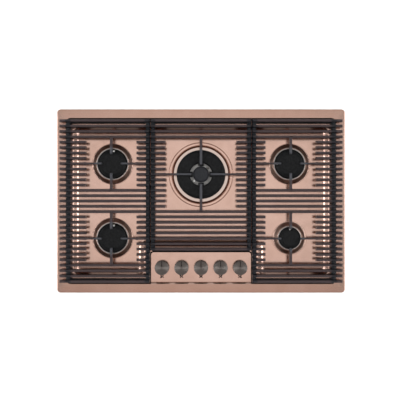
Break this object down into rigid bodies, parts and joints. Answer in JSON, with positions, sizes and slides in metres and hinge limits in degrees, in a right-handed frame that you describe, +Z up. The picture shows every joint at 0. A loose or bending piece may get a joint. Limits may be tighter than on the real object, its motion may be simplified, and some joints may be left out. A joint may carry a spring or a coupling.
{
  "type": "gas cooktop",
  "caption": "Built-in gas cooktop: polished copper-coloured top with a knob panel at the front, round burners and lift-off grates of close parallel bars.",
  "frame": {"origin": "middle of the plate's outline, on the flat underside of the casing", "axes": "+Z up; +X to the cook's right, along the longer side; the knobs are at -Y"},
  "size_m": [0.8, 0.51, 0.083],
  "materials": {
    "copper_plate": "polished stainless steel with a copper-coloured coating",
    "zinc_steel": "galvanised sheet",
    "foam": "closed-cell foam",
    "black_plastic": "moulded",
    "white_plastic": "moulded",
    "screw_steel": "bright zinc",
    "grate_enamel": "satin black vitreous enamel",
    "foot_rubber": "moulded silicone rubber",
    "brass": "machined",
    "white_ceramic": "glazed",
    "sensor_steel": "drawn",
    "pipe_aluminium": "drawn tube",
    "cast_aluminium": "die-cast",
    "crown_aluminium": "machined die-cast",
    "cap_enamel": "matt black vitreous enamel",
    "knob_steel": "dark brushed face",
    "spindle_steel": "turned",
    "lead_rubber": "silicone insulation"
  },
  "bodies": {
    "root": {"hob_plate": "copper_plate", "base_tray": "zinc_steel", "worktop_seal": "foam", "fixing_clamps": "zinc_steel", "cable_gland": "black_plastic", "m4_screws": "screw_steel", "injectors": "brass", "electrodes": "white_ceramic", "electrode_tips": "screw_steel", "thermocouples": "sensor_steel", "tap_bodies": "brass", "knob_seals": "foot_rubber", "ignition_switches": "black_plastic", "gas_manifold": "pipe_aluminium", "supply_pipe": "pipe_aluminium", "feed_pipe_centre": "pipe_aluminium", "inlet_elbow": "brass", "ignition_module": "white_plastic", "ignition_leads": "lead_rubber", "cup_rear_left": "cast_aluminium", "feed_pipe_rear_left": "pipe_aluminium", "cup_rear_right": "cast_aluminium", "feed_pipe_rear_right": "pipe_aluminium", "cup_front_left": "cast_aluminium", "feed_pipe_front_left": "pipe_aluminium", "cup_front_right": "cast_aluminium", "feed_pipe_front_right": "pipe_aluminium", "cup_centre": "cast_aluminium"},
    "grate_left_body": {"grate_left": "grate_enamel", "feet_left": "foot_rubber"},
    "grate_centre_body": {"grate_centre": "grate_enamel", "feet_centre": "foot_rubber"},
    "grate_right_body": {"grate_right": "grate_enamel", "feet_right": "foot_rubber"},
    "crown_rear_left_body": {"crown_rear_left": "crown_aluminium"},
    "cap_rear_left_body": {"cap_rear_left": "cap_enamel"},
    "crown_rear_right_body": {"crown_rear_right": "crown_aluminium"},
    "cap_rear_right_body": {"cap_rear_right": "cap_enamel"},
    "crown_front_left_body": {"crown_front_left": "crown_aluminium"},
    "cap_front_left_body": {"cap_front_left": "cap_enamel"},
    "crown_front_right_body": {"crown_front_right": "crown_aluminium"},
    "cap_front_right_body": {"cap_front_right": "cap_enamel"},
    "crown_centre_body": {"crown_centre": "crown_aluminium"},
    "cap_centre_outer_body": {"cap_centre_outer": "cap_enamel"},
    "cap_centre_inner_body": {"cap_centre_inner": "cap_enamel"},
    "plug_front_left_body": {"tap_plug_front_left": "brass"},
    "knob_front_left_body": {"knob_front_left": "knob_steel", "spindle_front_left": "spindle_steel"},
    "plug_rear_left_body": {"tap_plug_rear_left": "brass"},
    "knob_rear_left_body": {"knob_rear_left": "knob_steel", "spindle_rear_left": "spindle_steel"},
    "plug_centre_body": {"tap_plug_centre": "brass"},
    "knob_centre_body": {"knob_centre": "knob_steel", "spindle_centre": "spindle_steel"},
    "plug_rear_right_body": {"tap_plug_rear_right": "brass"},
    "knob_rear_right_body": {"knob_rear_right": "knob_steel", "spindle_rear_right": "spindle_steel"},
    "plug_front_right_body": {"tap_plug_front_right": "brass"},
    "knob_front_right_body": {"knob_front_right": "knob_steel", "spindle_front_right": "spindle_steel"}
  },
  "joints": [
    {"name": "lift_grate_left", "type": "slide", "parent": "root", "child": "grate_left_body", "axis": [0, 0, 1], "range_m": [0, 0.12]},
    {"name": "lift_grate_centre", "type": "slide", "parent": "root", "child": "grate_centre_body", "axis": [0, 0, 1], "range_m": [0, 0.12]},
    {"name": "lift_grate_right", "type": "slide", "parent": "root", "child": "grate_right_body", "axis": [0, 0, 1], "range_m": [0, 0.12]},
    {"name": "lift_crown_rear_left", "type": "slide", "parent": "root", "child": "crown_rear_left_body", "axis": [0, 0, 1], "range_m": [0, 0.008]},
    {"name": "lift_cap_rear_left", "type": "slide", "parent": "crown_rear_left_body", "child": "cap_rear_left_body", "axis": [0, 0, 1], "range_m": [0, 0.008]},
    {"name": "lift_crown_rear_right", "type": "slide", "parent": "root", "child": "crown_rear_right_body", "axis": [0, 0, 1], "range_m": [0, 0.008]},
    {"name": "lift_cap_rear_right", "type": "slide", "parent": "crown_rear_right_body", "child": "cap_rear_right_body", "axis": [0, 0, 1], "range_m": [0, 0.008]},
    {"name": "lift_crown_front_left", "type": "slide", "parent": "root", "child": "crown_front_left_body", "axis": [0, 0, 1], "range_m": [0, 0.008]},
    {"name": "lift_cap_front_left", "type": "slide", "parent": "crown_front_left_body", "child": "cap_front_left_body", "axis": [0, 0, 1], "range_m": [0, 0.008]},
    {"name": "lift_crown_front_right", "type": "slide", "parent": "root", "child": "crown_front_right_body", "axis": [0, 0, 1], "range_m": [0, 0.008]},
    {"name": "lift_cap_front_right", "type": "slide", "parent": "crown_front_right_body", "child": "cap_front_right_body", "axis": [0, 0, 1], "range_m": [0, 0.008]},
    {"name": "lift_crown_centre", "type": "slide", "parent": "root", "child": "crown_centre_body", "axis": [0, 0, 1], "range_m": [0, 0.008]},
    {"name": "lift_cap_centre_outer", "type": "slide", "parent": "crown_centre_body", "child": "cap_centre_outer_body", "axis": [0, 0, 1], "range_m": [0, 0.008]},
    {"name": "lift_cap_centre_inner", "type": "slide", "parent": "crown_centre_body", "child": "cap_centre_inner_body", "axis": [0, 0, 1], "range_m": [0, 0.008]},
    {"name": "turn_front_left", "type": "hinge", "parent": "root", "child": "plug_front_left_body", "pos_m": [-0.108, -0.1842, 0.04], "axis": [0, 0, 1], "range_deg": [0, 210]},
    {"name": "push_front_left", "type": "slide", "parent": "plug_front_left_body", "child": "knob_front_left_body", "axis": [0, 0, -1], "range_m": [0, 0.0035], "stiffness_N_per_m": 800, "springref_m": -0.004},
    {"name": "turn_rear_left", "type": "hinge", "parent": "root", "child": "plug_rear_left_body", "pos_m": [-0.054, -0.1842, 0.04], "axis": [0, 0, 1], "range_deg": [0, 210]},
    {"name": "push_rear_left", "type": "slide", "parent": "plug_rear_left_body", "child": "knob_rear_left_body", "axis": [0, 0, -1], "range_m": [0, 0.0035], "stiffness_N_per_m": 800, "springref_m": -0.004},
    {"name": "turn_centre", "type": "hinge", "parent": "root", "child": "plug_centre_body", "pos_m": [0, -0.1842, 0.04], "axis": [0, 0, 1], "range_deg": [0, 210]},
    {"name": "push_centre", "type": "slide", "parent": "plug_centre_body", "child": "knob_centre_body", "axis": [0, 0, -1], "range_m": [0, 0.0035], "stiffness_N_per_m": 800, "springref_m": -0.004},
    {"name": "turn_rear_right", "type": "hinge", "parent": "root", "child": "plug_rear_right_body", "pos_m": [0.054, -0.1842, 0.04], "axis": [0, 0, 1], "range_deg": [0, 210]},
    {"name": "push_rear_right", "type": "slide", "parent": "plug_rear_right_body", "child": "knob_rear_right_body", "axis": [0, 0, -1], "range_m": [0, 0.0035], "stiffness_N_per_m": 800, "springref_m": -0.004},
    {"name": "turn_front_right", "type": "hinge", "parent": "root", "child": "plug_front_right_body", "pos_m": [0.108, -0.1842, 0.04], "axis": [0, 0, 1], "range_deg": [0, 210]},
    {"name": "push_front_right", "type": "slide", "parent": "plug_front_right_body", "child": "knob_front_right_body", "axis": [0, 0, -1], "range_m": [0, 0.0035], "stiffness_N_per_m": 800, "springref_m": -0.004}
  ]
}
